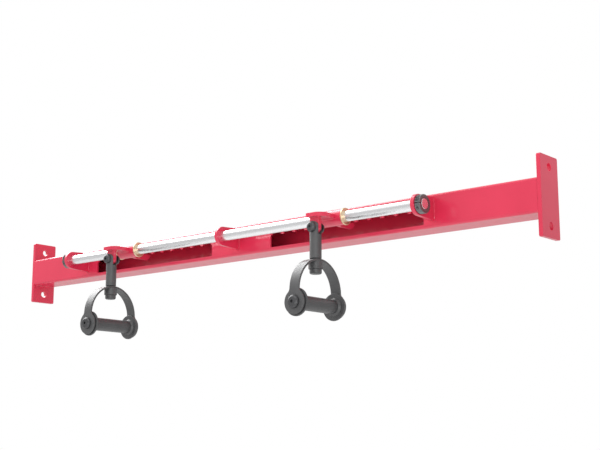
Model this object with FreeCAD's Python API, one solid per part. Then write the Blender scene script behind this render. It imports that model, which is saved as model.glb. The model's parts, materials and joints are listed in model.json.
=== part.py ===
"""Rack crossbeam with a chrome guide rod and two self-locking, swivelling pull-up handles.

Frame, in millimetres: the origin is the centre of the left end plate's outer face, +X runs
along the beam to the right end plate, -Y points out of the beam's front, where the guide rod
is, and +Z is up.

Each handle hangs from a carriage that slides and turns on the guide rod.  Its load turns the
carriage, and the lever behind the rod rises into a notch in the beam's front wall.  Lifting
the handle drops the lever, and the carriage is free to slide.  The model stands just
unlocked: each lever is in line with a notch and a millimetre below the teeth.
"""
import FreeCAD, Part
import math
import os

# Crossbeam: square tube between two bolted end plates
BEAM_LENGTH = 1714.5          # over the outer faces of the end plates
BEAM_SIZE = 76.2
BEAM_WALL = 4.76
BEAM_CORNER_R = 6.35
PLATE_T = 9.525
PLATE_HEIGHT = 177.8
PLATE_CORNER_R = 4.0
END_HOLE_R = 8.75
END_HOLE_SPACING = 127.0

# Toothed windows in the front wall
NOTCH_PITCH = 38.1
NOTCHES_PER_WINDOW = 12
LEFT_WINDOW_X = 303.0         # first tooth's centre, at the window's left end
RIGHT_WINDOW_X = 964.0
WINDOW_BOTTOM_Z = -29.7
TOOTH_TIP_Z = 0.9
NOTCH_TOP_Z = 9.9
TOOTH_TIP_WIDTH = 9.0
TOOTH_ROOT_WIDTH = 12.7
TOOTH_R = 2.0

# Guide rod, its three brackets and its two clamp collars
ROD_R = 12.7
ROD_GAP = 57.15               # beam's front face to rod axis
ROD_Z = 3.7
ROD_CHAMFER = 1.0
ROD_HOLE_R = 12.75
ROD_MIDDLE_X = 852.5          # the middle bracket, a little left of the beam's middle
BRACKET_OFFSET = 592.5        # outer brackets, from the middle one
BRACKET_T = 9.525
BRACKET_NOSE_R = 24.0
BRACKET_ROOT_Z = 27.0         # half height where it meets the beam, about the rod axis
COLLAR_R = 21.5
COLLAR_WIDTH = 14.3
COLLAR_SLIT = 2.0
COLLAR_EDGE = 1.0
COLLAR_SCREW_R = 3.0
COLLAR_HEAD_R = 5.0
COLLAR_HEAD_H = 6.0
COLLAR_SOCKET_R = 2.9
COLLAR_SOCKET_DEPTH = 3.0
COLLAR_SCREW_Y = -17.2
COLLAR_SEAT_Z = 4.0
COLLAR_SCREW_END_Z = -9.0

# Carriage; x counts from its stem axis, y and z from the rod axis
LEFT_STEM_X = 496.25
RIGHT_STEM_X = 1201.25
SLEEVE_R = 19.05
SLEEVE_BORE_R = 15.93
SLEEVE_X = (-22.0, 42.0)
BUSHING_R = 15.875
BUSHING_BORE_R = 12.77
BUSHING_BARREL = 25.0
BUSHING_FLANGE_R = 20.0
BUSHING_FLANGE_T = 4.0
BUSHING_END_GAP = 0.3
DECK_X = (-17.5, 28.0)
DECK_FRONT_Y = -70.0
DECK_T = 9.525
DECK_LEFT_R = 2.0
DECK_RIGHT_R = 24.0
LUG_HALF_WIDTH = 12.7
LUG_T = 10.0
LEVER_X = (12.4, 21.9)
LEVER_TOP_Z = -3.8
LEVER_BOTTOM_Z = -19.3
LEVER_BEND_Y = 43.0           # where its top edge levels out
LEVER_HEEL_Y = 55.0           # where its bottom edge starts to rise
LEVER_TIP_Y = 69.0
LEVER_TIP_R = 2.5

# Fork that hangs from the lug, and its pivot pin along Y
PIVOT_Y = -55.0
PIVOT_Z = -28.6
FORK_R = 13.75
FORK_SLOT = 11.0
FORK_SLOT_DEPTH = 16.5        # below the pivot axis
FORK_FLAT_R = 12.5            # spot faces under the pin's two heads
FORK_FLAT_Y = 12.4
FORK_SHOULDER = 72.0          # below the pivot axis
PIVOT_PIN_R = 6.35
PIVOT_BORE_R = 6.4
PIVOT_BUSHING_R = 8.0
PIVOT_HEAD_R = 12.0
PIVOT_HEAD_H = 7.4
PIVOT_SOCKET_R = 3.4
PIVOT_SOCKET_DEPTH = 3.0
PIVOT_WASHER_R = 12.4
PIVOT_WASHER_T = 2.0
PIVOT_THREAD_R = 4.0
PIVOT_THREAD_DEPTH = 18.0

# Swivel below the fork: spindle, hub and retaining cap, on the stem axis
SPINDLE_R = 7.0
SPINDLE_END = 104.5           # all heights here are below the pivot axis
THRUST_WASHER_R = 12.5
THRUST_WASHER_T = 0.7
HUB_R = 16.7
HUB_BOTTOM = 96.0
HUB_NECK_R = 10.0
HUB_BORE_R = 8.75
SWIVEL_BORE_R = 7.06
CAP_R = 14.0
CAP_TOP = 96.4
CAP_BOTTOM = 107.5
CAP_ROUND = 4.0

# D-shaped bow and the rotating grip, whose axis is along Y
GRIP_DROP = 176.5             # pivot axis to grip axis
BOW_R = 76.0
BOW_TOP = 73.0                # outer face of the strap, below the pivot axis
STRAP_T = 4.8
STRAP_WIDTH = 27.0
EYE_R = 28.0
EYE_BLEND_R = 14.0
AXLE_R = 7.94
AXLE_HOLE_R = 8.0
AXLE_THREAD_R = 5.0
AXLE_THREAD_DEPTH = 25.0
SCREW_HEAD_R = 15.0
SCREW_HEAD_H = 6.8
SCREW_HEAD_FLAT_R = 7.5
SCREW_SOCKET_R = 4.0
SCREW_SOCKET_DEPTH = 3.5
END_WASHER_R = 14.0
END_WASHER_T = 1.2
DISC_R = 31.75
DISC_T = 4.8
DISC_EDGE = 1.2
SPACER_R = 12.0
SPACER_T = 1.8
SPACER_GAP = 0.4
BOSS_R = 21.0
BOSS_T = 4.0
GRIP_R = 16.8
GRIP_BORE_R = 10.5
GRIP_BUSHING_LENGTH = 22.0

X_AXIS = FreeCAD.Vector(1, 0, 0)
Y_AXIS = FreeCAD.Vector(0, 1, 0)
Z_AXIS = FreeCAD.Vector(0, 0, 1)
ROD_Y = -BEAM_SIZE / 2 - ROD_GAP
STEMS = {"left": LEFT_STEM_X, "right": RIGHT_STEM_X}
MARGIN = 5.0                  # how far a cutting tool runs past what it cuts
EDGE_R = 0.8                  # rounding of plate edges and chamfer of turned ends


def in_xz(y):
    """Places a drawing's (u, v) at x = u, z = v on the plane at this y."""
    return lambda u, v: FreeCAD.Vector(u, y, v)


def in_yz(x):
    """Places a drawing's (u, v) at y = u, z = v on the plane at this x."""
    return lambda u, v: FreeCAD.Vector(x, u, v)


def in_xy(z):
    """Places a drawing's (u, v) at x = u, y = v on the plane at this z."""
    return lambda u, v: FreeCAD.Vector(u, v, z)


def rod_along(axis, radius, start, end, across=(0.0, 0.0)):
    """A cylinder along one axis, from start to end; across gives its other two coordinates."""
    if axis is X_AXIS:
        base = FreeCAD.Vector(start, *across)
    elif axis is Y_AXIS:
        base = FreeCAD.Vector(across[0], start, across[1])
    else:
        base = FreeCAD.Vector(*across, start)
    return Part.makeCylinder(radius, end - start, base, axis)


def soft_ended_rod(axis, radius, start, end, across=(0.0, 0.0)):
    """A cylinder along one axis with a small chamfer at each end."""
    rod = rod_along(axis, radius, start, end, across)
    return rod.makeChamfer(EDGE_R, [e for e in rod.Edges if e.Curve.TypeId == "Part::GeomCircle"])


def tube_along(axis, radius, bore, start, end, across=(0.0, 0.0)):
    outer = rod_along(axis, radius, start, end, across)
    return outer.cut(rod_along(axis, bore, start - MARGIN, end + MARGIN, across))


def block(x, y, z):
    """A box from its (low, high) pair on each axis."""
    corner = FreeCAD.Vector(x[0], y[0], z[0])
    return Part.makeBox(x[1] - x[0], y[1] - y[0], z[1] - z[0], corner)


def rounded_face(corners, place):
    """A flat face from (u, v, corner radius) points, with a tangent arc at each corner."""
    count = len(corners)
    flat = [FreeCAD.Vector(u, v, 0) for u, v, _ in corners]
    starts, middles, ends = [], [], []
    for i, (u, v, radius) in enumerate(corners):
        here = flat[i]
        back = (flat[i - 1] - here).normalize()
        ahead = (flat[(i + 1) % count] - here).normalize()
        half = back.getAngle(ahead) / 2
        middle_way = (back + ahead).normalize()
        reach = radius / math.tan(half)
        starts.append(here + back * reach)
        ends.append(here + ahead * reach)
        middles.append(here + middle_way * (radius / math.sin(half) - radius))
    edges = []
    for i in range(count):
        if corners[i][2] > 0:
            arc = [place(p.x, p.y) for p in (starts[i], middles[i], ends[i])]
            edges.append(Part.Arc(*arc).toShape())
        leave = ends[i]
        arrive = starts[(i + 1) % count]
        if leave.distanceToPoint(arrive) > 1e-6:
            line = Part.LineSegment(place(leave.x, leave.y), place(arrive.x, arrive.y))
            edges.append(line.toShape())
    return Part.Face(Part.Wire(edges))


def soft_plate(face, thickness):
    """A plate from a flat face, with the outlines of both its sides rounded."""
    plate = face.extrude(thickness)
    travel = FreeCAD.Vector(thickness).normalize()
    outlines = [e for e in plate.Edges if abs(e.tangentAt(e.FirstParameter).dot(travel)) < 0.5]
    return plate.makeFillet(EDGE_R, outlines)


def rounded_rectangle(width, height, radius, place):
    u, v = width / 2, height / 2
    corners = [(-u, -v, radius), (u, -v, radius), (u, v, radius), (-u, v, radius)]
    return rounded_face(corners, place)


def hex_socket(radius, top_z, depth):
    """What a hexagonal key socket takes out of a screw head whose top is at top_z."""
    points = []
    for corner in range(7):
        angle = math.radians(60 * corner)
        points.append(FreeCAD.Vector(radius * math.cos(angle), radius * math.sin(angle),
                                     top_z - depth))
    return Part.Face(Part.makePolygon(points)).extrude(Z_AXIS * (depth + MARGIN))


def window_tool(start_x):
    """What a toothed window takes out of the front wall; half a tooth is left at each end."""
    end_x = start_x + NOTCHES_PER_WINDOW * NOTCH_PITCH
    tip, root = TOOTH_TIP_WIDTH / 2, TOOTH_ROOT_WIDTH / 2
    corners = [(end_x, TOOTH_TIP_Z, 0.0), (end_x, WINDOW_BOTTOM_Z, TOOTH_R)]
    corners += [(start_x, WINDOW_BOTTOM_Z, TOOTH_R), (start_x, TOOTH_TIP_Z, 0.0)]
    for notch in range(NOTCHES_PER_WINDOW):
        left = start_x + notch * NOTCH_PITCH
        right = left + NOTCH_PITCH
        corners.append((left + tip, TOOTH_TIP_Z, TOOTH_R))
        corners.append((left + root, NOTCH_TOP_Z, TOOTH_R))
        corners.append((right - root, NOTCH_TOP_Z, TOOTH_R))
        corners.append((right - tip, TOOTH_TIP_Z, TOOTH_R))
    face = rounded_face(corners, in_xz(-BEAM_SIZE / 2 - MARGIN))
    return face.extrude(Y_AXIS * (MARGIN * 2 + BEAM_WALL))


def beam_tube():
    length = X_AXIS * (BEAM_LENGTH - 2 * PLATE_T)
    inside = BEAM_SIZE - 2 * BEAM_WALL
    place = in_yz(PLATE_T)
    outer = rounded_rectangle(BEAM_SIZE, BEAM_SIZE, BEAM_CORNER_R, place).extrude(length)
    inner_r = BEAM_CORNER_R - BEAM_WALL
    tube = outer.cut(rounded_rectangle(inside, inside, inner_r, place).extrude(length))
    for start_x in (LEFT_WINDOW_X, RIGHT_WINDOW_X):
        tube = tube.cut(window_tool(start_x))
    return tube


def end_plate(start_x):
    """An end plate with its two bolt holes, one above and one below the tube."""
    face = rounded_rectangle(BEAM_SIZE, PLATE_HEIGHT, PLATE_CORNER_R, in_yz(start_x))
    plate = soft_plate(face, X_AXIS * PLATE_T)
    for side in (-1, 1):
        across = (0.0, side * END_HOLE_SPACING / 2)
        hole = rod_along(X_AXIS, END_HOLE_R, start_x - MARGIN, start_x + PLATE_T + MARGIN, across)
        plate = plate.cut(hole)
    return plate


def rod_bracket(middle_x):
    """A plate from the beam's face to a round nose about the rod, its edges tangent to the nose.

    It is drawn a little way into the beam and cut flush, so only its free edges are rounded.
    """
    lean = math.atan2(BRACKET_ROOT_Z, ROD_GAP)
    reach = math.hypot(BRACKET_ROOT_Z, ROD_GAP)
    touch = lean + math.acos(BRACKET_NOSE_R / reach)
    place = in_yz(middle_x - BRACKET_T / 2)
    nose_y, nose_z = BRACKET_NOSE_R * math.cos(touch), BRACKET_NOSE_R * math.sin(touch)
    slope = (BRACKET_ROOT_Z - nose_z) / (ROD_GAP - nose_y)
    far_y, far_z = ROD_GAP + MARGIN, BRACKET_ROOT_Z + slope * MARGIN
    root_top, root_bottom = place(far_y, far_z), place(far_y, -far_z)
    top, bottom = place(nose_y, nose_z), place(nose_y, -nose_z)
    edges = [
        Part.LineSegment(root_top, top).toShape(),
        Part.Arc(top, place(-BRACKET_NOSE_R, 0), bottom).toShape(),
        Part.LineSegment(bottom, root_bottom).toShape(),
        Part.LineSegment(root_bottom, root_top).toShape(),
    ]
    plate = soft_plate(Part.Face(Part.Wire(edges)), X_AXIS * BRACKET_T)
    behind = block((middle_x - BRACKET_T, middle_x + BRACKET_T), (ROD_GAP, ROD_GAP + 2 * MARGIN),
                   (-2 * BRACKET_ROOT_Z, 2 * BRACKET_ROOT_Z))
    hole = rod_along(X_AXIS, ROD_HOLE_R, middle_x - BRACKET_T, middle_x + BRACKET_T)
    plate = plate.cut([behind, hole])
    plate.translate(FreeCAD.Vector(0, ROD_Y, ROD_Z))
    return plate


def rod_half_length():
    return BRACKET_OFFSET + BRACKET_T / 2 + COLLAR_WIDTH


def guide_rod():
    half = rod_half_length()
    across = (ROD_Y, ROD_Z)
    rod = rod_along(X_AXIS, ROD_R, ROD_MIDDLE_X - half, ROD_MIDDLE_X + half, across)
    ends = [e for e in rod.Edges if e.Curve.TypeId == "Part::GeomCircle"]
    return rod.makeChamfer(ROD_CHAMFER, ends)


def collar_start(side):
    """The lower x of the clamp collar outside the left (-1) or right (1) bracket."""
    inner = ROD_MIDDLE_X + side * (BRACKET_OFFSET + BRACKET_T / 2)
    return inner if side > 0 else inner - COLLAR_WIDTH


def clamp_collar(side):
    """A split collar; its slit faces forward, with a pocket above it for the screw's head."""
    start = collar_start(side)
    end = start + COLLAR_WIDTH
    outer = rod_along(X_AXIS, COLLAR_R, start, end)
    rims = [e for e in outer.Edges if e.Curve.TypeId == "Part::GeomCircle"]
    collar = outer.makeChamfer(COLLAR_EDGE, rims)
    collar = collar.cut(rod_along(X_AXIS, ROD_HOLE_R, start - MARGIN, end + MARGIN))
    half_slit = COLLAR_SLIT / 2
    collar = collar.cut(block((start - MARGIN, end + MARGIN), (-COLLAR_R - MARGIN, 0.0),
                              (-half_slit, half_slit)))
    across = ((start + end) / 2, COLLAR_SCREW_Y)
    collar = collar.cut(rod_along(Z_AXIS, COLLAR_SCREW_R + 0.05, -COLLAR_R, COLLAR_R, across))
    pocket = rod_along(Z_AXIS, COLLAR_HEAD_R + 0.3, COLLAR_SEAT_Z, COLLAR_R, across)
    collar = collar.cut(pocket)
    collar.translate(FreeCAD.Vector(0, ROD_Y, ROD_Z))
    return collar


def collar_screws():
    screws = []
    for side in (-1, 1):
        across = (collar_start(side) + COLLAR_WIDTH / 2, COLLAR_SCREW_Y)
        head = Part.makeCylinder(COLLAR_HEAD_R, COLLAR_HEAD_H)
        head = head.cut(hex_socket(COLLAR_SOCKET_R, COLLAR_HEAD_H, COLLAR_SOCKET_DEPTH))
        head.translate(FreeCAD.Vector(*across, COLLAR_SEAT_Z))
        shank = rod_along(Z_AXIS, COLLAR_SCREW_R, COLLAR_SCREW_END_Z, COLLAR_SEAT_Z, across)
        screws.append(shank.fuse(head).removeSplitter())
    group = Part.makeCompound(screws)
    group.translate(FreeCAD.Vector(0, ROD_Y, ROD_Z))
    return group


def rod_bushings():
    """The two flanged bushings that line a carriage's sleeve, one from each end."""
    low, high = SLEEVE_X[0] - BUSHING_END_GAP, SLEEVE_X[1] + BUSHING_END_GAP
    bushings = []
    for mouth, outward in ((low, -1), (high, 1)):
        inner, outer = mouth - outward * BUSHING_BARREL, mouth + outward * BUSHING_FLANGE_T
        barrel = rod_along(X_AXIS, BUSHING_R, min(inner, mouth), max(inner, mouth))
        flange = soft_ended_rod(X_AXIS, BUSHING_FLANGE_R, min(mouth, outer), max(mouth, outer))
        body = barrel.fuse(flange).removeSplitter()
        bore = rod_along(X_AXIS, BUSHING_BORE_R, low - BUSHING_FLANGE_T - MARGIN,
                         high + BUSHING_FLANGE_T + MARGIN)
        bushings.append(body.cut(bore))
    return Part.makeCompound(bushings)


def sleeve():
    outer = soft_ended_rod(X_AXIS, SLEEVE_R, *SLEEVE_X)
    return outer.cut(rod_along(X_AXIS, SLEEVE_BORE_R, SLEEVE_X[0] - MARGIN, SLEEVE_X[1] + MARGIN))


def sleeve_space():
    """The room that the sleeve takes, cut from what is welded to it."""
    return rod_along(X_AXIS, SLEEVE_R, SLEEVE_X[0] - MARGIN, SLEEVE_X[1] + MARGIN)


def deck_plate():
    """The plate that reaches forward from the sleeve, at the height of the rod axis."""
    corners = [(DECK_X[0], 0.0, 0.0), (DECK_X[0], DECK_FRONT_Y, DECK_LEFT_R)]
    corners += [(DECK_X[1], DECK_FRONT_Y, DECK_RIGHT_R), (DECK_X[1], 0.0, 0.0)]
    face = rounded_face(corners, in_xy(-DECK_T / 2))
    return soft_plate(face, Z_AXIS * DECK_T).cut(sleeve_space())


def pivot_lug():
    """The lug below the deck that the fork straddles."""
    y = (PIVOT_Y - LUG_T / 2, PIVOT_Y + LUG_T / 2)
    across = (0.0, PIVOT_Z)
    body = block((-LUG_HALF_WIDTH, LUG_HALF_WIDTH), y, (PIVOT_Z, -DECK_T / 2))
    lug = body.fuse(rod_along(Y_AXIS, LUG_HALF_WIDTH, *y, across)).removeSplitter()
    hole = rod_along(Y_AXIS, PIVOT_BUSHING_R, y[0] - MARGIN, y[1] + MARGIN, across)
    return lug.cut(hole)


def pivot_bushing():
    y = (PIVOT_Y - LUG_T / 2, PIVOT_Y + LUG_T / 2)
    return tube_along(Y_AXIS, PIVOT_BUSHING_R, PIVOT_BORE_R, *y, (0.0, PIVOT_Z))


def lock_lever():
    """The lever from the sleeve, through the window, to its tip inside the beam."""
    corners = [(0.0, SLEEVE_R * 0.7, 0.0), (SLEEVE_R, SLEEVE_R * 0.55, 10.0)]
    corners += [(LEVER_BEND_Y, LEVER_TOP_Z, 10.0), (LEVER_TIP_Y, LEVER_TOP_Z, LEVER_TIP_R)]
    corners += [(LEVER_HEEL_Y, LEVER_BOTTOM_Z, 5.0), (SLEEVE_R * 0.7, LEVER_BOTTOM_Z, 10.0)]
    corners += [(0.0, -SLEEVE_R * 0.9, 0.0)]
    face = rounded_face(corners, in_yz(LEVER_X[0]))
    return soft_plate(face, X_AXIS * (LEVER_X[1] - LEVER_X[0])).cut(sleeve_space())


def stem_z(drop):
    """Height on the stem axis of a point this far below the pivot axis."""
    return PIVOT_Z - drop


def fork():
    """A round bar, slotted and rounded at its top and turned down to the spindle below."""
    stem = (0.0, PIVOT_Y)
    pivot = (0.0, PIVOT_Z)
    bar = soft_ended_rod(Z_AXIS, FORK_R, stem_z(FORK_SHOULDER), PIVOT_Z + FORK_R + MARGIN, stem)
    crown = rod_along(Y_AXIS, FORK_R, PIVOT_Y - FORK_R, PIVOT_Y + FORK_R, pivot)
    below = block((-FORK_R, FORK_R), (PIVOT_Y - FORK_R, PIVOT_Y + FORK_R),
                  (stem_z(FORK_SHOULDER), PIVOT_Z))
    bar = bar.common(crown.fuse(below).removeSplitter())
    half_slot = FORK_SLOT / 2
    bar = bar.cut(block((-FORK_R - MARGIN, FORK_R + MARGIN),
                        (PIVOT_Y - half_slot, PIVOT_Y + half_slot),
                        (stem_z(FORK_SLOT_DEPTH), PIVOT_Z + FORK_R + MARGIN)))
    bar = bar.cut(rod_along(Y_AXIS, PIVOT_BORE_R, PIVOT_Y - FORK_R - MARGIN,
                            PIVOT_Y + FORK_R + MARGIN, pivot))
    for side in (-1, 1):
        near, far = sorted((PIVOT_Y + side * FORK_FLAT_Y, PIVOT_Y + side * (FORK_R + MARGIN)))
        bar = bar.cut(rod_along(Y_AXIS, FORK_FLAT_R, near, far, pivot))
    spindle = rod_along(Z_AXIS, SPINDLE_R, stem_z(SPINDLE_END), stem_z(FORK_SHOULDER), stem)
    return bar.fuse(spindle).removeSplitter()


def pivot_washers():
    """One washer under each head of the pivot pin."""
    rings = []
    for side in (-1, 1):
        y = sorted((PIVOT_Y + side * FORK_FLAT_Y, PIVOT_Y + side * (FORK_FLAT_Y + PIVOT_WASHER_T)))
        rings.append(tube_along(Y_AXIS, PIVOT_WASHER_R, PIVOT_BORE_R, *y, (0.0, PIVOT_Z)))
    return Part.makeCompound(rings)


def dome_head(radius, height, flat_r, socket_r, socket_depth):
    """A domed screw head on z = 0 with a hexagonal socket, its axis along +Z."""
    rim_h = height * 0.25
    rise = height - rim_h
    sag_r = radius - flat_r
    middle = (flat_r + sag_r * math.cos(math.radians(45)), rim_h + rise * math.sin(math.radians(45)))
    profile = [
        Part.LineSegment(FreeCAD.Vector(0, 0, 0), FreeCAD.Vector(radius, 0, 0)).toShape(),
        Part.LineSegment(FreeCAD.Vector(radius, 0, 0), FreeCAD.Vector(radius, 0, rim_h)).toShape(),
        Part.Arc(FreeCAD.Vector(radius, 0, rim_h), FreeCAD.Vector(middle[0], 0, middle[1]),
                 FreeCAD.Vector(flat_r, 0, height)).toShape(),
        Part.LineSegment(FreeCAD.Vector(flat_r, 0, height), FreeCAD.Vector(0, 0, height)).toShape(),
        Part.LineSegment(FreeCAD.Vector(0, 0, height), FreeCAD.Vector(0, 0, 0)).toShape(),
    ]
    head = Part.Face(Part.Wire(profile)).revolve(FreeCAD.Vector(0, 0, 0), Z_AXIS, 360)
    return head.cut(hex_socket(socket_r, height, socket_depth))


def facing(shape, y, outward, z):
    """Turns a shape made along +Z to point along -Y or +Y, with its seat at this y and z."""
    shape.rotate(FreeCAD.Vector(0, 0, 0), X_AXIS, 90 if outward < 0 else -90)
    shape.translate(FreeCAD.Vector(0, y, z))
    return shape


def pivot_pin():
    """The pin through the fork and lug, with a domed head in front and a threaded hole behind."""
    seat = FORK_FLAT_Y + PIVOT_WASHER_T
    head = dome_head(PIVOT_HEAD_R, PIVOT_HEAD_H, PIVOT_SOCKET_R + 1.5, PIVOT_SOCKET_R,
                     PIVOT_SOCKET_DEPTH)
    head = facing(head, PIVOT_Y - seat, -1, PIVOT_Z)
    across = (0.0, PIVOT_Z)
    shank = rod_along(Y_AXIS, PIVOT_PIN_R, PIVOT_Y - seat, PIVOT_Y + seat, across)
    pin = head.fuse(shank).removeSplitter()
    return pin.cut(rod_along(Y_AXIS, PIVOT_THREAD_R, PIVOT_Y + seat - PIVOT_THREAD_DEPTH,
                             PIVOT_Y + seat, across))


def pivot_screw():
    """The domed screw that closes the pin's rear end."""
    head = dome_head(PIVOT_HEAD_R, PIVOT_HEAD_H, PIVOT_SOCKET_R + 1.5, PIVOT_SOCKET_R,
                     PIVOT_SOCKET_DEPTH)
    shank = Part.makeCylinder(PIVOT_THREAD_R, PIVOT_THREAD_DEPTH - 2.0,
                              FreeCAD.Vector(0, 0, 0), -Z_AXIS)
    screw = head.fuse(shank).removeSplitter()
    return facing(screw, PIVOT_Y + FORK_FLAT_Y + PIVOT_WASHER_T, 1, PIVOT_Z)


def thrust_washer():
    top = stem_z(FORK_SHOULDER)
    return tube_along(Z_AXIS, THRUST_WASHER_R, SWIVEL_BORE_R, top - THRUST_WASHER_T, top,
                      (0.0, PIVOT_Y))


def retaining_cap():
    """The round-bottomed nut that closes the spindle's end."""
    stem = (0.0, PIVOT_Y)
    cap = rod_along(Z_AXIS, CAP_R, stem_z(CAP_BOTTOM), stem_z(CAP_TOP), stem)
    rim = [e for e in cap.Edges if e.Curve.TypeId == "Part::GeomCircle"
           and abs(e.BoundBox.ZMax - stem_z(CAP_BOTTOM)) < 0.01]
    cap = cap.makeFillet(CAP_ROUND, rim)
    hole = rod_along(Z_AXIS, SPINDLE_R, stem_z(SPINDLE_END), stem_z(CAP_TOP) + MARGIN, stem)
    return cap.cut(hole)


def swivel_hub():
    """The hub below the strap; its neck fills the strap's hole, where the two are welded."""
    stem = (0.0, PIVOT_Y)
    barrel = soft_ended_rod(Z_AXIS, HUB_R, stem_z(HUB_BOTTOM), stem_z(BOW_TOP), stem)
    above = block((-HUB_R, HUB_R), (PIVOT_Y - HUB_R, PIVOT_Y + HUB_R),
                  (stem_z(BOW_TOP + STRAP_T), stem_z(BOW_TOP)))
    barrel = barrel.cut(above)
    neck = rod_along(Z_AXIS, HUB_NECK_R, stem_z(HUB_BOTTOM), stem_z(BOW_TOP), stem)
    hub = barrel.fuse(neck).removeSplitter().cut(bow())
    return hub.cut(rod_along(Z_AXIS, HUB_BORE_R, stem_z(HUB_BOTTOM) - MARGIN,
                             stem_z(BOW_TOP) + MARGIN, stem))


def swivel_bushing():
    return tube_along(Z_AXIS, HUB_BORE_R, SWIVEL_BORE_R, stem_z(HUB_BOTTOM), stem_z(BOW_TOP),
                      (0.0, PIVOT_Y))


def bow_front():
    """The bow seen along the grip: a strap's width, blended into a round eye at the bottom."""
    half = STRAP_WIDTH / 2
    rise = math.sqrt((EYE_R + EYE_BLEND_R) ** 2 - (half + EYE_BLEND_R) ** 2)
    share = EYE_R / (EYE_R + EYE_BLEND_R)
    touch_x, touch_z = share * (half + EYE_BLEND_R), share * rise
    mid_angle = math.pi + math.atan2(rise, half + EYE_BLEND_R) / 2
    mid_x = half + EYE_BLEND_R + EYE_BLEND_R * math.cos(mid_angle)
    mid_z = rise + EYE_BLEND_R * math.sin(mid_angle)
    top_z = GRIP_DROP - BOW_TOP + MARGIN
    place = in_xz(PIVOT_Y - BOW_R - MARGIN)

    def at(u, v):
        return place(u, stem_z(GRIP_DROP) + v)

    edges = [
        Part.LineSegment(at(-half, top_z), at(half, top_z)).toShape(),
        Part.LineSegment(at(half, top_z), at(half, rise)).toShape(),
        Part.Arc(at(half, rise), at(mid_x, mid_z), at(touch_x, touch_z)).toShape(),
        Part.Arc(at(touch_x, touch_z), at(0, -EYE_R), at(-touch_x, touch_z)).toShape(),
        Part.Arc(at(-touch_x, touch_z), at(-mid_x, mid_z), at(-half, rise)).toShape(),
        Part.LineSegment(at(-half, rise), at(-half, top_z)).toShape(),
    ]
    return Part.Face(Part.Wire(edges)).extrude(Y_AXIS * 2 * (BOW_R + MARGIN))


def bow_side():
    """The bow seen along the beam: a strap bent to an arch, with two straight legs."""
    place = in_yz(-EYE_R - MARGIN)
    centre_z = stem_z(BOW_TOP + BOW_R)
    foot_z = stem_z(GRIP_DROP + EYE_R + MARGIN)
    inner_r = BOW_R - STRAP_T

    def at(u, v):
        return place(PIVOT_Y + u, v)

    edges = [
        Part.LineSegment(at(-BOW_R, foot_z), at(-BOW_R, centre_z)).toShape(),
        Part.Arc(at(-BOW_R, centre_z), at(0, centre_z + BOW_R), at(BOW_R, centre_z)).toShape(),
        Part.LineSegment(at(BOW_R, centre_z), at(BOW_R, foot_z)).toShape(),
        Part.LineSegment(at(BOW_R, foot_z), at(inner_r, foot_z)).toShape(),
        Part.LineSegment(at(inner_r, foot_z), at(inner_r, centre_z)).toShape(),
        Part.Arc(at(inner_r, centre_z), at(0, centre_z + inner_r), at(-inner_r, centre_z)).toShape(),
        Part.LineSegment(at(-inner_r, centre_z), at(-inner_r, foot_z)).toShape(),
        Part.LineSegment(at(-inner_r, foot_z), at(-BOW_R, foot_z)).toShape(),
    ]
    return Part.Face(Part.Wire(edges)).extrude(X_AXIS * 2 * (EYE_R + MARGIN))


def bow():
    """The flat strap bent to a D, with an eye at each end and a hole at the top for the hub."""
    strap = bow_side().common(bow_front())
    strap = strap.makeFillet(EDGE_R, [e for e in strap.Edges if e.BoundBox.ZLength > 0.01])
    grip = (0.0, stem_z(GRIP_DROP))
    strap = strap.cut(rod_along(Y_AXIS, AXLE_HOLE_R, PIVOT_Y - 2 * BOW_R, PIVOT_Y + 2 * BOW_R,
                                grip))
    return strap.cut(rod_along(Z_AXIS, HUB_NECK_R, stem_z(HUB_BOTTOM), stem_z(BOW_TOP) + MARGIN,
                               (0.0, PIVOT_Y)))


def grip_axle():
    """The fixed axle between the eyes, with a threaded hole in each end."""
    grip = (0.0, stem_z(GRIP_DROP))
    axle = rod_along(Y_AXIS, AXLE_R, PIVOT_Y - BOW_R, PIVOT_Y + BOW_R, grip)
    for side in (-1, 1):
        y = sorted((PIVOT_Y + side * BOW_R, PIVOT_Y + side * (BOW_R - AXLE_THREAD_DEPTH)))
        axle = axle.cut(rod_along(Y_AXIS, AXLE_THREAD_R, *y, grip))
    return axle


def end_washers():
    rings = []
    for side in (-1, 1):
        y = sorted((PIVOT_Y + side * BOW_R, PIVOT_Y + side * (BOW_R + END_WASHER_T)))
        rings.append(tube_along(Y_AXIS, END_WASHER_R, AXLE_THREAD_R + 0.2, *y,
                                (0.0, stem_z(GRIP_DROP))))
    return Part.makeCompound(rings)


def end_screws():
    """The two large-headed screws that hold the axle in the eyes."""
    screws = []
    for side in (-1, 1):
        seat = PIVOT_Y + side * (BOW_R + END_WASHER_T)
        head = dome_head(SCREW_HEAD_R, SCREW_HEAD_H, SCREW_HEAD_FLAT_R, SCREW_SOCKET_R,
                         SCREW_SOCKET_DEPTH)
        shank = Part.makeCylinder(AXLE_THREAD_R, AXLE_THREAD_DEPTH - 3.0,
                                  FreeCAD.Vector(0, 0, 0), -Z_AXIS)
        screw = head.fuse(shank).removeSplitter()
        screws.append(facing(screw, seat, side, stem_z(GRIP_DROP)))
    return Part.makeCompound(screws)


def axle_spacers():
    """A thin spacer inside each eye, which keeps the grip's discs off the strap."""
    rings = []
    for side in (-1, 1):
        outer = BOW_R - STRAP_T
        y = sorted((PIVOT_Y + side * outer, PIVOT_Y + side * (outer - SPACER_T)))
        rings.append(tube_along(Y_AXIS, SPACER_R, AXLE_HOLE_R, *y, (0.0, stem_z(GRIP_DROP))))
    return Part.makeCompound(rings)


def disc_outer_y():
    """Half the length over the grip's discs."""
    return BOW_R - STRAP_T - SPACER_T - SPACER_GAP


def grip_half_length():
    return disc_outer_y() - DISC_T - BOSS_T


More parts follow.
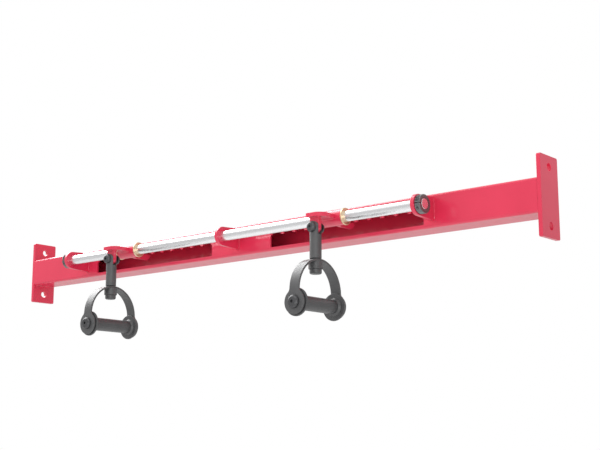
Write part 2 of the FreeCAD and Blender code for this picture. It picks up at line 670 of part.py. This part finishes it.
def grip_discs():
    """The two hand guards; each has a tapered boss that closes the grip's end."""
    discs = []
    for side in (-1, 1):
        disc = Part.makeCylinder(DISC_R, DISC_T)
        rims = [e for e in disc.Edges if e.Curve.TypeId == "Part::GeomCircle"]
        disc = disc.makeFillet(DISC_EDGE, rims)
        boss = Part.makeCone(GRIP_R, BOSS_R, BOSS_T, FreeCAD.Vector(0, 0, -BOSS_T), Z_AXIS)
        disc = disc.fuse(boss).removeSplitter()
        disc = disc.cut(Part.makeCylinder(AXLE_HOLE_R, DISC_T + BOSS_T + 2 * MARGIN,
                                          FreeCAD.Vector(0, 0, -BOSS_T - MARGIN), Z_AXIS))
        seat = PIVOT_Y + side * (disc_outer_y() - DISC_T)
        discs.append(facing(disc, seat, side, stem_z(GRIP_DROP)))
    return Part.makeCompound(discs)


def grip():
    half = grip_half_length()
    return tube_along(Y_AXIS, GRIP_R, GRIP_BORE_R, PIVOT_Y - half, PIVOT_Y + half,
                      (0.0, stem_z(GRIP_DROP)))


def grip_bushings():
    """A bushing in each end of the grip, running on the axle."""
    half = grip_half_length()
    rings = []
    for side in (-1, 1):
        y = sorted((PIVOT_Y + side * half, PIVOT_Y + side * (half - GRIP_BUSHING_LENGTH)))
        rings.append(tube_along(Y_AXIS, GRIP_BORE_R, AXLE_HOLE_R, *y, (0.0, stem_z(GRIP_DROP))))
    return Part.makeCompound(rings)


CARRIAGE_PIECES = {
    "rod_bushings": rod_bushings,
    "sleeve": sleeve,
    "deck_plate": deck_plate,
    "pivot_lug": pivot_lug,
    "pivot_bushing": pivot_bushing,
    "lock_lever": lock_lever,
    "fork": fork,
    "pivot_pin": pivot_pin,
    "pivot_screw": pivot_screw,
    "pivot_washers": pivot_washers,
    "thrust_washer": thrust_washer,
    "retaining_cap": retaining_cap,
    "swivel_hub": swivel_hub,
    "swivel_bushing": swivel_bushing,
    "bow": bow,
    "grip_axle": grip_axle,
    "axle_spacers": axle_spacers,
    "end_washers": end_washers,
    "end_screws": end_screws,
    "grip": grip,
    "grip_discs": grip_discs,
    "grip_bushings": grip_bushings,
}


def all_nodes():
    nodes = {
        "beam_tube": beam_tube(),
        "end_plate_left": end_plate(0.0),
        "end_plate_right": end_plate(BEAM_LENGTH - PLATE_T),
        "bracket_left": rod_bracket(ROD_MIDDLE_X - BRACKET_OFFSET),
        "bracket_middle": rod_bracket(ROD_MIDDLE_X),
        "bracket_right": rod_bracket(ROD_MIDDLE_X + BRACKET_OFFSET),
        "guide_rod": guide_rod(),
        "collar_left": clamp_collar(-1),
        "collar_right": clamp_collar(1),
        "collar_screws": collar_screws(),
    }
    for side, stem_x in STEMS.items():
        for name, make in CARRIAGE_PIECES.items():
            piece = make()
            piece.translate(FreeCAD.Vector(stem_x, ROD_Y, ROD_Z))
            nodes[name + "_" + side] = piece
    return nodes


def main():
    os.makedirs("parts", exist_ok=True)
    for name, shape in all_nodes().items():
        shape.exportStep("parts/" + name + ".step")
        sound = "ok" if shape.isValid() else "NOT VALID"
        print(f"{name:24s} solids {len(shape.Solids)}  volume {shape.Volume:12.1f}  {sound}")


main()
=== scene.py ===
import json
import math

import bmesh
import bpy
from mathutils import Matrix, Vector

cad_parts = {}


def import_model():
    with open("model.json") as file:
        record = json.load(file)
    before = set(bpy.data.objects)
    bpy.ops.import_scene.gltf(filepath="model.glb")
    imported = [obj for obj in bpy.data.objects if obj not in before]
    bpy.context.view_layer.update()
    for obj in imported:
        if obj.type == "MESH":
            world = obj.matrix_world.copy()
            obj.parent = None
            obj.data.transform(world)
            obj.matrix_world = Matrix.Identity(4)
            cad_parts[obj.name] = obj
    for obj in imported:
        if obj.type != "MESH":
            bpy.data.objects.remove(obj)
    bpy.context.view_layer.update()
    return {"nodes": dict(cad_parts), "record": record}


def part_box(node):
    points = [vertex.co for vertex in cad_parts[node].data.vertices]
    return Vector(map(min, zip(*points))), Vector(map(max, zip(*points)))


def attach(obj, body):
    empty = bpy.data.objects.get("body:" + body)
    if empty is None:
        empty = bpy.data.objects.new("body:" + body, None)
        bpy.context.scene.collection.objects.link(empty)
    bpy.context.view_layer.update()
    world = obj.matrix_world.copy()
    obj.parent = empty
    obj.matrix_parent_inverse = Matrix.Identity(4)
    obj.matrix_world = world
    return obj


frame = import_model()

# The looks of a rack crossbeam with two sliding, self-locking pull-up handles.
# Metres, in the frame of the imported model: +X along the beam, -Y out of its front, +Z up.

SIDES = ("left", "right")
X = Vector((1, 0, 0))
Y = Vector((0, 1, 0))
Z = Vector((0, 0, 1))

# Weld beads
WELD_LEG = 0.0028
WELD_SMALL_LEG = 0.0022
BRACKET_WELD_LEG = 0.0018
WELD_RIPPLE = 0.0022          # one ripple's length along the seam
WELD_TAPER = 0.005            # an open bead thins out over this length at each end
STEPS_PER_RIPPLE = 5
WELD_EDGE_STEPS = 6           # points across the bead's face
WELD_CROWN = 0.16             # the face's rise over a flat one, as a share of the leg
WELD_ROOT = 0.25              # how far the root sinks into both parts, as a share of the leg
WELD_SWELL = 0.07             # the depth of a ripple, as a share of the leg
WELD_END = 0.2                # an open bead's size at its very end, as a share of the leg
LEVER_WELD_FROM = math.radians(28)      # round the sleeve: 0 is its back, upwards is positive
LEVER_WELD_TO = math.radians(-62)
RING_CORNER_STEPS = 5         # points round one corner of a closed seam
TUBE_CORNER_R = 0.00635
LUG_CORNER_R = 0.0005

# Studio
FLOOR_DROP = 2.1              # the beam hangs this far above the floor
FLOOR_SIZE = 160.0
HORIZON_LEVEL = 0.60          # the room's brightness at eye level; overhead it is 1
GROUND_LEVEL = 0.75

# Camera
CAMERA_PLACE = (2.816, -2.118, -0.510)
CAMERA_TILT = 100.92          # degrees up from looking straight down
CAMERA_TURN = 40.17           # degrees round the vertical
CAMERA_LENS = 68.2
SENSOR_WIDTH = 36.0


def box_centre(node):
    low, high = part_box(node)
    return (low + high) / 2


# Materials: each is one node tree on the piece's own coordinates, in metres.

class Recipe:
    """A material with a Principled shader and the few texture nodes that the finishes share."""

    def __init__(self, name, **shader_values):
        self.material = bpy.data.materials.new(name)
        self.material.use_nodes = True
        self.nodes = self.material.node_tree.nodes
        self.links = self.material.node_tree.links
        self.shader = self.nodes["Principled BSDF"]
        for socket, value in shader_values.items():
            self.shader.inputs[socket.replace("_", " ")].default_value = value
        self.place = self.nodes.new("ShaderNodeTexCoord").outputs["Object"]

    def stretched(self, scale):
        """The coordinates scaled differently along X, Y and Z."""
        mapping = self.nodes.new("ShaderNodeMapping")
        mapping.inputs["Scale"].default_value = scale
        self.links.new(self.place, mapping.inputs["Vector"])
        return mapping.outputs["Vector"]

    def noise(self, scale, detail=2.0, roughness=0.5, place=None):
        node = self.nodes.new("ShaderNodeTexNoise")
        node.inputs["Scale"].default_value = scale
        node.inputs["Detail"].default_value = detail
        node.inputs["Roughness"].default_value = roughness
        self.links.new(place or self.place, node.inputs["Vector"])
        return node.outputs["Fac"]

    def cells(self, scale):
        node = self.nodes.new("ShaderNodeTexVoronoi")
        node.inputs["Scale"].default_value = scale
        self.links.new(self.place, node.inputs["Vector"])
        return node.outputs["Distance"]

    def ramp(self, value, stops):
        """A colour ramp through (position, colour) stops."""
        node = self.nodes.new("ShaderNodeValToRGB")
        elements = node.color_ramp.elements
        while len(elements) < len(stops):
            elements.new(0.5)
        for element, (position, colour) in zip(elements, stops):
            element.position = position
            element.color = (*colour, 1.0)
        self.links.new(value, node.inputs["Fac"])
        return node.outputs["Color"]

    def levels(self, value, low, high, from_low=0.3, from_high=0.7):
        node = self.nodes.new("ShaderNodeMapRange")
        node.inputs["From Min"].default_value = from_low
        node.inputs["From Max"].default_value = from_high
        node.inputs["To Min"].default_value = low
        node.inputs["To Max"].default_value = high
        self.links.new(value, node.inputs["Value"])
        return node.outputs["Result"]

    def mixed(self, share, first, second):
        node = self.nodes.new("ShaderNodeMix")
        node.data_type = "RGBA"
        self.links.new(share, node.inputs["Factor"])
        self.links.new(first, node.inputs["A"])
        self.links.new(second, node.inputs["B"])
        return node.outputs["Result"]

    def sum_of(self, first, second, share):
        """first plus share times second."""
        node = self.nodes.new("ShaderNodeMath")
        node.operation = "MULTIPLY_ADD"
        node.inputs[1].default_value = share
        self.links.new(second, node.inputs[0])
        self.links.new(first, node.inputs[2])
        return node.outputs["Value"]

    def colour(self, value):
        self.links.new(value, self.shader.inputs["Base Color"])

    def roughness(self, value):
        self.links.new(value, self.shader.inputs["Roughness"])

    def bump(self, height, distance, strength=1.0):
        node = self.nodes.new("ShaderNodeBump")
        node.inputs["Distance"].default_value = distance
        node.inputs["Strength"].default_value = strength
        self.links.new(height, node.inputs["Height"])
        self.links.new(node.outputs["Normal"], self.shader.inputs["Normal"])


def red_paint():
    """Glossy powder coat: a faint orange peel, and a slow drift in the film's depth of colour."""
    paint = Recipe("red_paint", Coat_Weight=0.45, Coat_Roughness=0.06, Specular_IOR_Level=0.42)
    drift = paint.noise(7.0, detail=3.0)
    paint.colour(paint.ramp(drift, [(0.3, (0.655, 0.024, 0.070)), (0.7, (0.72, 0.031, 0.083))]))
    film = paint.noise(60.0, detail=4.0)
    paint.roughness(paint.levels(film, 0.28, 0.34))
    peel = paint.noise(520.0, detail=2.0)
    paint.bump(peel, 0.00005, 0.3)
    return paint.material


def chrome():
    """Hard chrome on a ground shaft: fine grinding rings and long faint polishing streaks."""
    metal = Recipe("chrome", Metallic=1.0)
    rings = metal.noise(1.0, detail=3.0, place=metal.stretched((2600.0, 30.0, 30.0)))
    streaks = metal.noise(1.0, detail=3.0, place=metal.stretched((1.5, 160.0, 160.0)))
    metal.colour(metal.ramp(streaks, [(0.3, (0.82, 0.825, 0.838)), (0.7, (0.88, 0.885, 0.895))]))
    metal.roughness(metal.levels(metal.sum_of(rings, streaks, 0.8), 0.23, 0.31, 0.5, 1.3))
    metal.bump(rings, 0.000001, 0.2)
    return metal.material


def bronze():
    """Sintered bronze: grains, dark pores and a dull patina."""
    metal = Recipe("bronze", Metallic=0.85)
    grains = metal.cells(2200.0)
    patina = metal.noise(90.0, detail=5.0, roughness=0.55)
    light = metal.ramp(patina, [(0.3, (0.80, 0.57, 0.36)), (0.7, (0.93, 0.75, 0.53))])
    dark = metal.ramp(patina, [(0.3, (0.62, 0.43, 0.26)), (0.7, (0.78, 0.59, 0.40))])
    metal.colour(metal.mixed(metal.levels(grains, 0.0, 1.0, 0.35, 0.95), light, dark))
    metal.roughness(metal.levels(patina, 0.30, 0.44))
    metal.bump(grains, 0.00004, -0.3)
    return metal.material


def dark_powder(name, grain_scale, grain_depth, dark, light):
    """Dark grey satin powder coat with a fine grain and a speckle of lighter and darker points."""
    coat = Recipe(name, Coat_Weight=0.35, Coat_Roughness=0.34, Specular_IOR_Level=0.58)
    grain = coat.noise(grain_scale, detail=3.0, roughness=0.6)
    drift = coat.noise(35.0, detail=4.0)
    coat.colour(coat.ramp(coat.sum_of(grain, drift, 0.5), [(0.5, dark), (1.0, light)]))
    coat.roughness(coat.levels(coat.sum_of(grain, drift, 0.8), 0.40, 0.54, 0.6, 1.2))
    coat.bump(grain, grain_depth, 0.5)
    return coat.material


def dark_coat():
    return dark_powder("dark_coat", 1500.0, 0.00004, (0.048, 0.048, 0.050), (0.084, 0.084, 0.086))


def grip_coat():
    return dark_powder("grip_coat", 950.0, 0.00012, (0.034, 0.034, 0.036), (0.072, 0.072, 0.074))


def black_oxide(name, dark, light, low, high):
    """Blackened steel: turning marks, and rubbed spots where the oxide is thin."""
    steel = Recipe(name, Metallic=0.7)
    marks = steel.noise(1.0, detail=2.0, place=steel.stretched((1800.0, 60.0, 1800.0)))
    rubbed = steel.noise(260.0, detail=5.0, roughness=0.65)
    steel.colour(steel.ramp(rubbed, [(0.35, dark), (0.75, light)]))
    steel.roughness(steel.levels(steel.sum_of(rubbed, marks, 0.6), low, high, 0.5, 1.1))
    steel.bump(marks, 0.00001, 0.5)
    return steel.material


def fastener_black():
    return black_oxide("fastener_black", (0.070, 0.070, 0.073), (0.115, 0.115, 0.12), 0.30, 0.44)


def collar_steel():
    return black_oxide("collar_steel", (0.13, 0.13, 0.134), (0.24, 0.24, 0.245), 0.22, 0.36)


def nylon_black():
    """Filled nylon: a matt moulded skin with short pale fibres."""
    nylon = Recipe("nylon_black", Specular_IOR_Level=0.35)
    fibres = nylon.noise(1.0, detail=2.0, place=nylon.stretched((900.0, 2600.0, 900.0)))
    nylon.colour(nylon.ramp(fibres, [(0.45, (0.022, 0.022, 0.023)), (0.75, (0.075, 0.075, 0.075))]))
    nylon.roughness(nylon.levels(fibres, 0.55, 0.72))
    nylon.bump(fibres, 0.00002, 0.4)
    return nylon.material


def all_materials():
    makers = (red_paint, chrome, bronze, dark_coat, grip_coat, fastener_black, collar_steel,
              nylon_black)
    return {maker.__name__: maker() for maker in makers}


def dress_cad_nodes(materials):
    """Puts each CAD node's finish in its material slots."""
    for entry in frame["record"]["subparts"]:
        node = frame["nodes"][entry["node"]]
        material = materials[entry["material_slot"]]
        if not node.material_slots:
            node.data.materials.append(material)
        for place in node.material_slots:
            place.material = material


# Weld beads: each is a row of (corner point, direction a, direction b) stations; a and b run
# from the corner along the two faces that the bead joins.

def weld_section(leg, sunk):
    """The bead's outline in (a, b): its two toes, a slightly crowned face, and its sunk root."""
    points = [(-sunk, -sunk), (leg, -sunk)]
    for step in range(WELD_EDGE_STEPS + 1):
        share = step / WELD_EDGE_STEPS
        crown = WELD_CROWN * leg * math.sin(math.pi * share)
        points.append((leg * (1 - share) + crown, leg * share + crown))
    points.append((-sunk, leg))
    return points


def weld_bead(name, body, stations, leg, material, closed=False):
    """Skins a rippled bead over its stations and lets it ride on a body."""
    mesh = bpy.data.meshes.new(name)
    shape = bmesh.new()
    rows = []
    corners = [station[0] for station in stations]
    steps = [(after - before).length for before, after in zip(corners, corners[1:])]
    length = sum(steps)
    for index, (corner, a, b) in enumerate(stations):
        travelled = sum(steps[:index])
        phase = travelled / WELD_RIPPLE % 1.0
        swell = 1 - WELD_SWELL + WELD_SWELL * math.sqrt(1.0 - phase)
        if not closed:
            from_end = min(travelled, length - travelled)
            swell *= WELD_END + (1 - WELD_END) * math.sqrt(min(1.0, from_end / WELD_TAPER))
        row = [shape.verts.new(corner + a * u + b * v)
               for u, v in weld_section(leg * swell, WELD_ROOT * leg)]
        rows.append(row)
    count = len(rows[0])
    pairs = list(zip(rows, rows[1:]))
    if closed:
        pairs.append((rows[-1], rows[0]))
    for first, second in pairs:
        for i in range(count):
            j = (i + 1) % count
            shape.faces.new((first[i], first[j], second[j], second[i]))
    for face in shape.faces:
        face.smooth = True
    if not closed:
        shape.faces.new(rows[0])
        shape.faces.new(rows[-1][::-1])
    bmesh.ops.recalc_face_normals(shape, faces=shape.faces)
    shape.to_mesh(mesh)
    shape.free()
    piece = bpy.data.objects.new(name, mesh)
    bpy.context.scene.collection.objects.link(piece)
    mesh.materials.append(material)
    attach(piece, body)


def step_count(length):
    return max(4, round(length / WELD_RIPPLE) * STEPS_PER_RIPPLE)


def straight_seam(start, end, a, b):
    count = step_count((end - start).length)
    return [(start.lerp(end, i / count), a, b) for i in range(count + 1)]


def ring_seam(middle, width, depth, radius):
    """Stations round a level rounded rectangle, for a bead that hangs below it."""
    half_x, half_y = width / 2 - radius, depth / 2 - radius
    corners = ((half_x, half_y), (-half_x, half_y), (-half_x, -half_y), (half_x, -half_y))
    stations = []
    for quarter, (x, y) in enumerate(corners):
        for i in range(RING_CORNER_STEPS + 1):
            angle = math.pi / 2 * (quarter + i / RING_CORNER_STEPS)
            outward = Vector((math.cos(angle), math.sin(angle), 0))
            stations.append((middle + Vector((x, y, 0)) + outward * radius, outward, -Z))
        next_x, next_y = corners[(quarter + 1) % 4]
        start = stations[-1][0]
        end = middle + Vector((next_x, next_y, 0)) + outward * radius
        stations += straight_seam(start, end, outward, -Z)[1:-1]
    return stations


def bracket_welds(material):
    """A seam on each side of each rod bracket, down the beam's front face."""
    for name in ("left", "middle", "right"):
        low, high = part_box("bracket_" + name)
        for tag, x, away in (("a", low.x, -X), ("b", high.x, X)):
            start = Vector((x, high.y, high.z - WELD_LEG))
            end = Vector((x, high.y, low.z + WELD_LEG))
            stations = straight_seam(start, end, away, -Y)
            weld_bead("weld_bracket_" + name + "_" + tag, "crossbeam", stations,
                      BRACKET_WELD_LEG, material)


def end_plate_welds(material):
    """A seam over and under the tube at each end plate, where the plate stands past the tube."""
    low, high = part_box("beam_tube")
    for side, x, along in (("left", low.x, X), ("right", high.x, -X)):
        for tag, z, away in (("top", high.z, Z), ("bottom", low.z, -Z)):
            start = Vector((x, low.y + TUBE_CORNER_R, z))
            end = Vector((x, high.y - TUBE_CORNER_R, z))
            weld_bead("weld_end_plate_" + side + "_" + tag, "crossbeam",
                      straight_seam(start, end, along, away), WELD_LEG, material)


def deck_welds(material):
    """Seams above and below the deck, along the sleeve."""
    for side in SIDES:
        sleeve_low, sleeve_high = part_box("sleeve_" + side)
        deck_low, deck_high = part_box("deck_plate_" + side)
        axis = (sleeve_low + sleeve_high) / 2
        radius = (sleeve_high.z - sleeve_low.z) / 2
        for tag, z in (("top", deck_high.z), ("bottom", deck_low.z)):
            rise = z - axis.z
            reach = math.sqrt(radius ** 2 - rise ** 2)
            up = Vector((0, abs(rise), math.copysign(reach, rise))) / radius
            start = Vector((deck_low.x, axis.y - reach, z))
            end = Vector((deck_high.x, axis.y - reach, z))
            stations = straight_seam(start, end, -Y, up)
            weld_bead("weld_deck_" + tag + "_" + side, "carriage_" + side, stations,
                      WELD_SMALL_LEG, material)


def lug_welds(material):
    """A seam round the lug, under the deck."""
    for side in SIDES:
        low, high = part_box("pivot_lug_" + side)
        middle = (low + high) / 2
        root = Vector((middle.x, middle.y, high.z))
        stations = ring_seam(root, high.x - low.x, high.y - low.y, LUG_CORNER_R)
        weld_bead("weld_lug_" + side, "carriage_" + side, stations, WELD_SMALL_LEG, material,
                  closed=True)


def lever_welds(material):
    """A seam on each side of the lever, round the back of the sleeve."""
    for side in SIDES:
        low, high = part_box("lock_lever_" + side)
        sleeve_low, sleeve_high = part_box("sleeve_" + side)
        axis = (sleeve_low + sleeve_high) / 2
        radius = (sleeve_high.z - sleeve_low.z) / 2
        count = step_count(radius * (LEVER_WELD_FROM - LEVER_WELD_TO))
        for tag, x, away in (("a", low.x, -X), ("b", high.x, X)):
            stations = []
            for i in range(count + 1):
                angle = LEVER_WELD_FROM + (LEVER_WELD_TO - LEVER_WELD_FROM) * i / count
                radial = Vector((0, math.cos(angle), math.sin(angle)))
                stations.append((Vector((x, axis.y, axis.z)) + radial * radius, away, radial))
            weld_bead("weld_lever_" + tag + "_" + side, "carriage_" + side, stations,
                      WELD_SMALL_LEG, material)


# Studio

def floor():
    mesh = bpy.data.meshes.new("floor")
    half = FLOOR_SIZE / 2
    centre_x = box_centre("beam_tube").x
    corners = [(centre_x + sx * half, sy * half, -FLOOR_DROP)
               for sx, sy in ((-1, -1), (1, -1), (1, 1), (-1, 1))]
    mesh.from_pydata(corners, [], [(0, 1, 2, 3)])
    plane = bpy.data.objects.new("floor", mesh)
    bpy.context.scene.collection.objects.link(plane)
    paper = Recipe("floor_paper", Specular_IOR_Level=0.2)
    mottle = paper.noise(0.8, detail=4.0)
    paper.colour(paper.ramp(mottle, [(0.3, (0.740, 0.740, 0.740)), (0.7, (0.755, 0.755, 0.755))]))
    paper.roughness(paper.levels(mottle, 0.75, 0.9))
    mesh.materials.append(paper.material)


def world():
    """A white room, brightest overhead; the camera itself sees plain white behind the object."""
    scene = bpy.context.scene
    scene.world = bpy.data.worlds.new("studio")
    scene.world.use_nodes = True
    scene.view_settings.view_transform = "Standard"
    nodes, links = scene.world.node_tree.nodes, scene.world.node_tree.links
    split = nodes.new("ShaderNodeSeparateXYZ")
    links.new(nodes.new("ShaderNodeTexCoord").outputs["Generated"], split.inputs["Vector"])
    shade = nodes.new("ShaderNodeValToRGB")
    shade.color_ramp.interpolation = "EASE"
    levels = shade.color_ramp.elements
    levels.new(0.5)
    for stop, (position, level) in zip(levels, ((0.2, GROUND_LEVEL), (0.5, HORIZON_LEVEL),
                                                (0.95, 1.0))):
        stop.position = position
        stop.color = (level, level, level, 1.0)
    height = nodes.new("ShaderNodeMapRange")
    height.inputs["From Min"].default_value = -1.0
    links.new(split.outputs["Z"], height.inputs["Value"])
    links.new(height.outputs["Result"], shade.inputs["Fac"])
    seen = nodes.new("ShaderNodeMix")
    seen.data_type = "RGBA"
    seen.inputs["B"].default_value = (1.0, 1.0, 1.0, 1.0)
    links.new(nodes.new("ShaderNodeLightPath").outputs["Is Camera Ray"], seen.inputs["Factor"])
    links.new(shade.outputs["Color"], seen.inputs["A"])
    links.new(seen.outputs["Result"], nodes["Background"].inputs["Color"])


def area_light(name, place, target, size, power):
    data = bpy.data.lights.new(name, "AREA")
    data.shape = "DISK"
    data.size = size
    data.energy = power
    lamp = bpy.data.objects.new(name, data)
    lamp.location = place
    lamp.rotation_euler = (Vector(target) - Vector(place)).to_track_quat("-Z", "Y").to_euler()
    bpy.context.scene.collection.objects.link(lamp)


def lights():
    middle = box_centre("guide_rod")
    area_light("key", (middle.x + 0.6, -2.4, 2.4), middle, 1.8, 12.0)
    area_light("front", (middle.x + 0.2, -3.2, -0.5), middle, 1.6, 9.0)
    area_light("side", (middle.x + 2.3, -2.3, -0.4), middle, 1.6, 20.0)
    area_light("rim", (middle.x - 2.0, 0.0, 1.7), middle, 2.6, 95.0)


def camera():
    data = bpy.data.cameras.new("camera")
    data.sensor_width = SENSOR_WIDTH
    data.lens = CAMERA_LENS
    eye = bpy.data.objects.new("camera", data)
    eye.location = CAMERA_PLACE
    eye.rotation_euler = (math.radians(CAMERA_TILT), 0.0, math.radians(CAMERA_TURN))
    bpy.context.scene.collection.objects.link(eye)
    bpy.context.scene.camera = eye


materials = all_materials()
dress_cad_nodes(materials)
bracket_welds(materials["red_paint"])
end_plate_welds(materials["red_paint"])
deck_welds(materials["red_paint"])
lug_welds(materials["red_paint"])
lever_welds(materials["red_paint"])
floor()
world()
lights()
camera()
